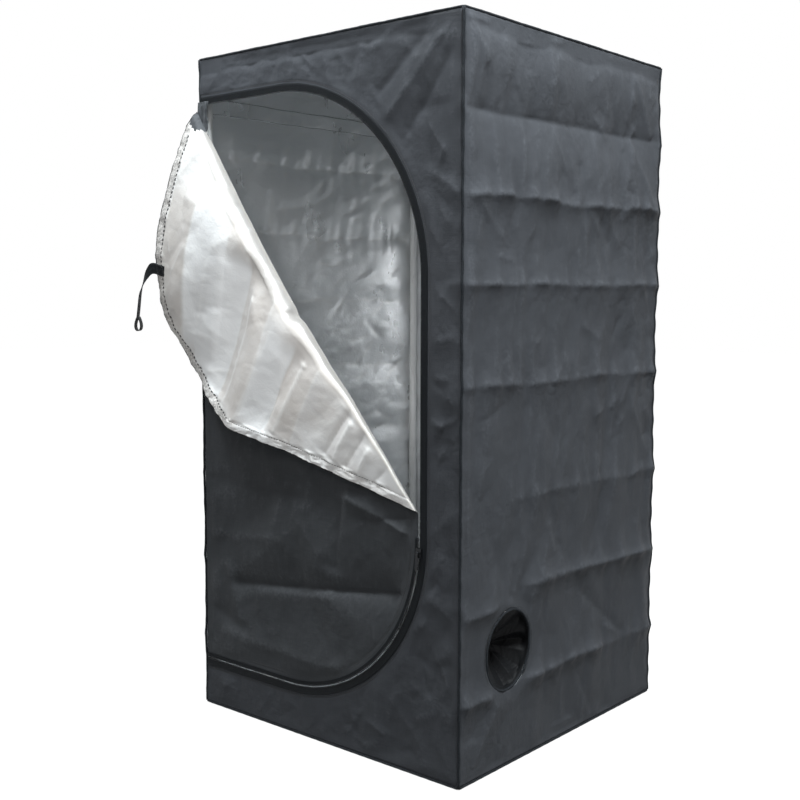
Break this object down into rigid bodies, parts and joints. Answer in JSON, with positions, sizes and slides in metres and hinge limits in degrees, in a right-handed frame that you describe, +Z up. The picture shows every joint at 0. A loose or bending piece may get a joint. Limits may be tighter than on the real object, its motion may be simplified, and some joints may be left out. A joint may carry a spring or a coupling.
{
  "type": "indoor grow tent",
  "caption": "Upright fabric grow tent on a tube frame in corner connectors, with a D-shaped zipped door folded open, sliding lamp bars and drawstring duct ports.",
  "frame": {"origin": "middle of the tent body's floor, on its underside", "axes": "+Z up, the zipped door faces -Y, the door's sewn edge is at -X and the low duct port is on +X"},
  "size_m": [0.7167, 0.6854, 1.2],
  "materials": {
    "canvas": "coated woven fabric, blue-black, dull sheen",
    "canvas_dark": "light black lining fabric, pleated",
    "lining": "silver reflective film on fabric, crumpled",
    "binding": "black bias binding",
    "zip_black": "black woven tape with a nylon coil",
    "zip_metal": "dark enamelled die casting",
    "webbing": "black woven webbing",
    "frame_steel": "white powder coat on steel tube",
    "black_plastic": "moulded black plastic",
    "cord": "black braided cord"
  },
  "bodies": {
    "frame_and_skin": {"corner_bottom_front_left": "black_plastic", "corner_bottom_front_right": "black_plastic", "corner_bottom_back_left": "black_plastic", "corner_bottom_back_right": "black_plastic", "corner_top_front_left": "black_plastic", "corner_top_front_right": "black_plastic", "corner_top_back_left": "black_plastic", "corner_top_back_right": "black_plastic", "post_lower_front_left": "frame_steel", "post_lower_front_right": "frame_steel", "post_lower_back_left": "frame_steel", "post_lower_back_right": "frame_steel", "post_upper_front_left": "frame_steel", "post_upper_front_right": "frame_steel", "post_upper_back_left": "frame_steel", "post_upper_back_right": "frame_steel", "tube_bottom_front": "frame_steel", "tube_bottom_back": "frame_steel", "tube_bottom_left": "frame_steel", "tube_bottom_right": "frame_steel", "tube_top_front": "frame_steel", "tube_top_back": "frame_steel", "tube_top_left": "frame_steel", "tube_top_right": "frame_steel", "front_panel": "canvas", "back_panel": "canvas", "left_panel": "canvas", "right_panel": "canvas", "roof_panel": "canvas", "floor_panel": "canvas", "binding_base": "binding", "binding_top": "binding", "binding_front_left": "binding", "binding_front_right": "binding", "binding_back_left": "binding", "binding_back_right": "binding", "zip_frame_half": "zip_black", "intake_hem": "binding", "intake_sleeve": "canvas_dark", "intake_drawcord": "cord", "intake_cord_lock": "black_plastic", "exhaust_hem": "binding", "exhaust_sleeve": "canvas_dark", "exhaust_drawcord": "cord", "exhaust_cord_lock": "black_plastic"},
    "door": {"door_panel": "canvas", "zip_door_half": "zip_black"},
    "flap": {"door_flap": "lining", "zip_flap_half": "zip_black"},
    "strap": {"tie_strap": "webbing"},
    "slider": {"zip_slider": "zip_metal"},
    "pull": {"zip_pull": "zip_metal"},
    "bar_front": {"hanging_bar_front": "frame_steel", "bar_hook_front_left": "black_plastic", "bar_hook_front_right": "black_plastic"},
    "bar_rear": {"hanging_bar_rear": "frame_steel", "bar_hook_rear_left": "black_plastic", "bar_hook_rear_right": "black_plastic"},
    "intake_plunger": {"intake_lock_plunger": "black_plastic"},
    "exhaust_plunger": {"exhaust_lock_plunger": "black_plastic"}
  },
  "joints": [
    {"name": "door_swing", "type": "hinge", "parent": "frame_and_skin", "child": "door", "pos_m": [-0.2978, -0.303, 0.602], "axis": [0, 0, -1], "range_deg": [0, 90]},
    {"name": "flap_fold", "type": "hinge", "parent": "door", "child": "flap", "pos_m": [-0.0379, -0.325, 0.7675], "axis": [-0.6079, 0, 0.794], "range_deg": [0, 165]},
    {"name": "strap_swing", "type": "hinge", "parent": "flap", "child": "strap", "pos_m": [-0.34292, -0.35057, 0.81442], "axis": [-0.0159, -0.1282, 0.9916], "range_deg": [0, 60]},
    {"name": "zip_travel", "type": "hinge", "parent": "frame_and_skin", "child": "slider", "pos_m": [-0.076, -0.303, 0.387], "axis": [0, 1, 0], "range_deg": [-3, 84]},
    {"name": "pull_swing", "type": "hinge", "parent": "slider", "child": "pull", "pos_m": [0.22126, -0.3084, 0.366], "axis": [-0.9975, 0, 0.0705], "range_deg": [0, 170]},
    {"name": "bar_front_slide", "type": "slide", "parent": "frame_and_skin", "child": "bar_front", "axis": [0, 1, 0], "range_m": [-0.13, 0.085]},
    {"name": "bar_rear_slide", "type": "slide", "parent": "frame_and_skin", "child": "bar_rear", "axis": [0, 1, 0], "range_m": [-0.085, 0.13]},
    {"name": "intake_lock_press", "type": "slide", "parent": "frame_and_skin", "child": "intake_plunger", "axis": [0, 1, 0], "range_m": [0, 0.003], "stiffness_N_per_m": 300, "springref_m": -0.004},
    {"name": "exhaust_lock_press", "type": "slide", "parent": "frame_and_skin", "child": "exhaust_plunger", "axis": [-1, 0, 0], "range_m": [0, 0.003], "stiffness_N_per_m": 300, "springref_m": -0.004}
  ]
}
